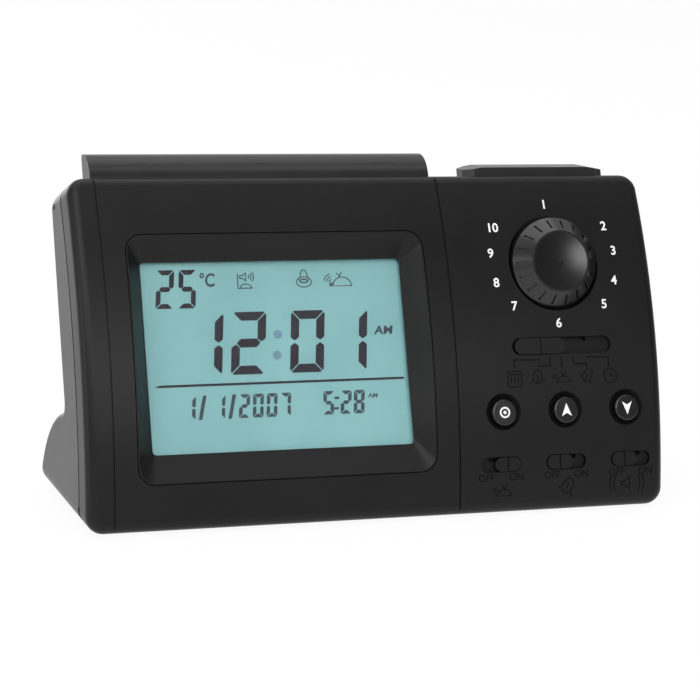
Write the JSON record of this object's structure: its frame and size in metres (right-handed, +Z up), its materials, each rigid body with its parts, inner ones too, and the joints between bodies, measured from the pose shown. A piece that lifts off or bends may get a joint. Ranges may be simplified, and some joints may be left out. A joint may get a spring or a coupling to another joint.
{
  "type": "azan clock",
  "caption": "Desk azan clock with a leaning LCD in a bevelled frame, selector dial, slide switches, push buttons, long snooze bar, stop key, rear speaker and battery bay",
  "frame": {"origin": "on the table under the middle of the case's overall box", "axes": "+X to the right seen from the front, +Y from the display towards the back, +Z up"},
  "size_m": [0.172, 0.057, 0.0975],
  "materials": {
    "case_plastic": "fine satin moulded ABS",
    "key_plastic": "satin moulded ABS",
    "clear_plastic": "clear acrylic",
    "lcd_glass": "blue-green display glass under a matt polariser",
    "diffuser_plastic": "milky acrylic",
    "conductive_rubber": "soft silicone",
    "inner_plastic": "natural acetal",
    "circuit_board": "solder-masked laminate",
    "epoxy": "black epoxy",
    "plated_steel": "nickel plated",
    "screw_steel": "zinc plated",
    "spring_steel": "bright spring wire",
    "contact_brass": "plain brass",
    "switch_metal": "pressed steel switch can",
    "cell_sleeve": "printed sleeve, left bare",
    "magnet_ferrite": "dull ferrite",
    "speaker_paper": "felted paper",
    "foot_rubber": "soft rubber",
    "wire_insulation": "soft PVC insulation"
  },
  "bodies": {
    "housing": {"front_shell": "case_plastic", "rear_cover": "case_plastic", "display_bezel": "case_plastic", "lens": "clear_plastic", "lcd_panel": "lcd_glass", "light_guide": "diffuser_plastic", "contact_strips": "conductive_rubber", "lcd_frame": "inner_plastic", "main_board": "circuit_board", "control_board": "circuit_board", "key_board": "circuit_board", "chip_blob": "epoxy", "clock_crystal": "plated_steel", "main_board_screws": "screw_steel", "control_board_screws": "screw_steel", "key_board_screws": "screw_steel", "speaker_screws": "screw_steel", "case_screws": "screw_steel", "detent_spring": "spring_steel", "set_dome": "conductive_rubber", "up_dome": "conductive_rubber", "down_dome": "conductive_rubber", "mode_switch": "switch_metal", "on_off_switches": "switch_metal", "snooze_springs": "spring_steel", "stop_springs": "spring_steel", "key_switches": "switch_metal", "temperature_sensor": "epoxy", "battery_cells": "cell_sleeve", "battery_springs": "spring_steel", "battery_contacts": "plated_steel", "speaker_basket": "plated_steel", "speaker_magnet": "magnet_ferrite", "speaker_cone": "speaker_paper", "rubber_feet": "foot_rubber", "ribbon_cable": "wire_insulation", "key_leads": "wire_insulation", "speaker_leads": "wire_insulation", "battery_leads": "wire_insulation"},
    "selector": {"selector_knob": "key_plastic", "selector_rotor": "inner_plastic", "rotor_wiper": "contact_brass"},
    "set_key": {"set_button": "key_plastic"},
    "up_key": {"up_button": "key_plastic"},
    "down_key": {"down_button": "key_plastic"},
    "mode_selector": {"mode_slider": "key_plastic", "mode_lever": "inner_plastic"},
    "azan_selector": {"azan_slider": "key_plastic", "azan_lever": "inner_plastic"},
    "alarm_selector": {"alarm_slider": "key_plastic", "alarm_lever": "inner_plastic"},
    "sound_selector": {"sound_slider": "key_plastic", "sound_lever": "inner_plastic"},
    "snooze_key": {"snooze_bar": "key_plastic"},
    "stop_key": {"stop_button": "key_plastic"},
    "battery_lid": {"battery_door": "case_plastic"}
  },
  "joints": [
    {"name": "selector_turn", "type": "hinge", "parent": "housing", "child": "selector", "pos_m": [0.05469, 0.00006, 0.06642], "axis": [0, -0.9537, 0.3007], "continuous": true, "deforming": ["detent_spring"]},
    {"name": "set_press", "type": "slide", "parent": "housing", "child": "set_key", "axis": [0, 0.9537, -0.3007], "range_m": [0, 0.001], "stiffness_N_per_m": 400, "springref_m": -0.0005, "deforming": ["set_dome"]},
    {"name": "up_press", "type": "slide", "parent": "housing", "child": "up_key", "axis": [0, 0.9537, -0.3007], "range_m": [0, 0.001], "stiffness_N_per_m": 400, "springref_m": -0.0005, "deforming": ["up_dome"]},
    {"name": "down_press", "type": "slide", "parent": "housing", "child": "down_key", "axis": [0, 0.9537, -0.3007], "range_m": [0, 0.001], "stiffness_N_per_m": 400, "springref_m": -0.0005, "deforming": ["down_dome"]},
    {"name": "mode_slide", "type": "slide", "parent": "housing", "child": "mode_selector", "axis": [1, 0, 0], "range_m": [0, 0.0136]},
    {"name": "azan_slide", "type": "slide", "parent": "housing", "child": "azan_selector", "axis": [1, 0, 0], "range_m": [-0.0041, 0]},
    {"name": "alarm_slide", "type": "slide", "parent": "housing", "child": "alarm_selector", "axis": [1, 0, 0], "range_m": [0, 0.0041]},
    {"name": "sound_slide", "type": "slide", "parent": "housing", "child": "sound_selector", "axis": [1, 0, 0], "range_m": [0, 0.0041]},
    {"name": "snooze_press", "type": "slide", "parent": "housing", "child": "snooze_key", "axis": [0, -0.373, -0.9278], "range_m": [0, 0.0015], "stiffness_N_per_m": 500, "springref_m": -0.002, "deforming": ["snooze_springs"]},
    {"name": "stop_press", "type": "slide", "parent": "housing", "child": "stop_key", "axis": [0, -0.373, -0.9278], "range_m": [0, 0.0012], "stiffness_N_per_m": 500, "springref_m": -0.002, "deforming": ["stop_springs"]},
    {"name": "battery_door_turn", "type": "hinge", "parent": "housing", "child": "battery_lid", "pos_m": [0, 0.02841, 0.0032], "axis": [-1, 0, 0], "range_deg": [0, 80]}
  ]
}
